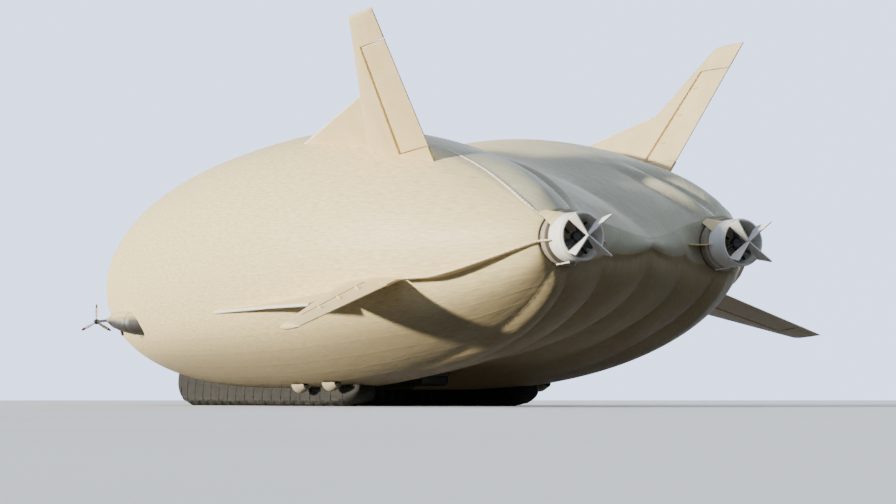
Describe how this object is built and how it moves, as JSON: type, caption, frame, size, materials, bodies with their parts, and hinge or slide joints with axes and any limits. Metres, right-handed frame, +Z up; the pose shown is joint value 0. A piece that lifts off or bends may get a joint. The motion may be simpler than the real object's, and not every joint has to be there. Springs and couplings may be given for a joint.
{
  "type": "airship, 1:10 scale model",
  "caption": "Twin-lobed helium airship standing on inflated skids, with four tilted fins, ducted stern propellers, open front propellers and a gondola under the keel.",
  "frame": {"origin": "centre of the bounding box on the floor, under the middle of the hull", "axes": "+Y from nose to stern, +X to port, +Z up"},
  "size_m": [4.3736, 9.24, 2.8202],
  "materials": {
    "hull_fabric": "satin laminate with fine lengthwise seams",
    "skid_fabric": "matt coated fabric",
    "fin_skin": "satin cream paint on composite",
    "duct_white": "satin white paint on composite",
    "cone_brown": "matt brown grey paint on composite",
    "blade_black": "matt composite",
    "cabin_grey": "satin dark grey paint on composite",
    "window_glass": "clear",
    "bare_metal": "satin"
  },
  "bodies": {
    "hull": {"envelope_port": "hull_fabric", "envelope_starboard": "hull_fabric", "landing_skid_port": "skid_fabric", "landing_skid_starboard": "skid_fabric", "valve_scoop_1_port": "duct_white", "valve_scoop_1_starboard": "duct_white", "valve_scoop_2_port": "duct_white", "valve_scoop_2_starboard": "duct_white", "upper_fin_port": "fin_skin", "upper_fin_starboard": "fin_skin", "lower_fin_port": "fin_skin", "lower_fin_starboard": "fin_skin", "side_strake_port": "fin_skin", "side_strake_starboard": "fin_skin", "inner_strake_port": "fin_skin", "inner_strake_starboard": "fin_skin", "tail_cone_port": "cone_brown", "tail_cone_starboard": "cone_brown", "stern_duct_port": "duct_white", "stern_duct_starboard": "duct_white", "vane_set_port": "duct_white", "vane_set_starboard": "duct_white", "front_nacelle_port": "hull_fabric", "front_nacelle_starboard": "hull_fabric", "front_shaft_port": "bare_metal", "front_shaft_starboard": "bare_metal", "cabin": "cabin_grey", "cabin_glass_port": "window_glass", "cabin_glass_starboard": "window_glass", "windscreen": "window_glass", "cabin_pylon": "bare_metal", "payload_beam": "bare_metal", "mission_module": "cabin_grey", "fuel_module": "cabin_grey", "rear_module": "cabin_grey", "belly_dome_1": "cabin_grey", "belly_dome_2": "cabin_grey", "belly_dome_3": "cabin_grey"},
    "rudder_port": {"rudder_port": "fin_skin"},
    "rudder_starboard": {"rudder_starboard": "fin_skin"},
    "elevator_port": {"elevator_port": "fin_skin"},
    "elevator_starboard": {"elevator_starboard": "fin_skin"},
    "stern_propeller_port": {"stern_propeller_port": "blade_black"},
    "stern_propeller_starboard": {"stern_propeller_starboard": "blade_black"},
    "front_propeller_port": {"front_propeller_port": "blade_black"},
    "front_propeller_starboard": {"front_propeller_starboard": "blade_black"},
    "cabin_door": {"cabin_door": "cabin_grey"}
  },
  "joints": [
    {"name": "rudder_port_hinge", "type": "hinge", "parent": "hull", "child": "rudder_port", "pos_m": [1.05763, 2.65035, 1.87568], "axis": [0.4826, 0.1835, 0.8564], "range_deg": [-25, 25]},
    {"name": "rudder_starboard_hinge", "type": "hinge", "parent": "hull", "child": "rudder_starboard", "pos_m": [-1.05763, 2.65035, 1.87568], "axis": [-0.4826, 0.1835, 0.8564], "range_deg": [-25, 25]},
    {"name": "elevator_port_hinge", "type": "hinge", "parent": "hull", "child": "elevator_port", "pos_m": [1.43718, 2.79769, 0.85126], "axis": [0.8767, 0.3195, -0.3596], "range_deg": [-25, 25]},
    {"name": "elevator_starboard_hinge", "type": "hinge", "parent": "hull", "child": "elevator_starboard", "pos_m": [-1.43718, 2.79769, 0.85126], "axis": [0.8767, -0.3195, 0.3596], "range_deg": [-25, 25]},
    {"name": "stern_propeller_port_spin", "type": "hinge", "parent": "hull", "child": "stern_propeller_port", "pos_m": [0.64, 4.39, 1.136], "axis": [0, 1, 0], "continuous": true},
    {"name": "stern_propeller_starboard_spin", "type": "hinge", "parent": "hull", "child": "stern_propeller_starboard", "pos_m": [-0.64, 4.39, 1.136], "axis": [0, 1, 0], "continuous": true},
    {"name": "front_propeller_port_spin", "type": "hinge", "parent": "hull", "child": "front_propeller_port", "pos_m": [1.66, -2.87, 0.79], "axis": [0, 1, 0], "continuous": true},
    {"name": "front_propeller_starboard_spin", "type": "hinge", "parent": "hull", "child": "front_propeller_starboard", "pos_m": [-1.66, -2.87, 0.79], "axis": [0, 1, 0], "continuous": true},
    {"name": "cabin_door_hinge", "type": "hinge", "parent": "hull", "child": "cabin_door", "pos_m": [-0.155, -2.27, 0.2325], "axis": [0, 0, 1], "range_deg": [0, 90]}
  ]
}
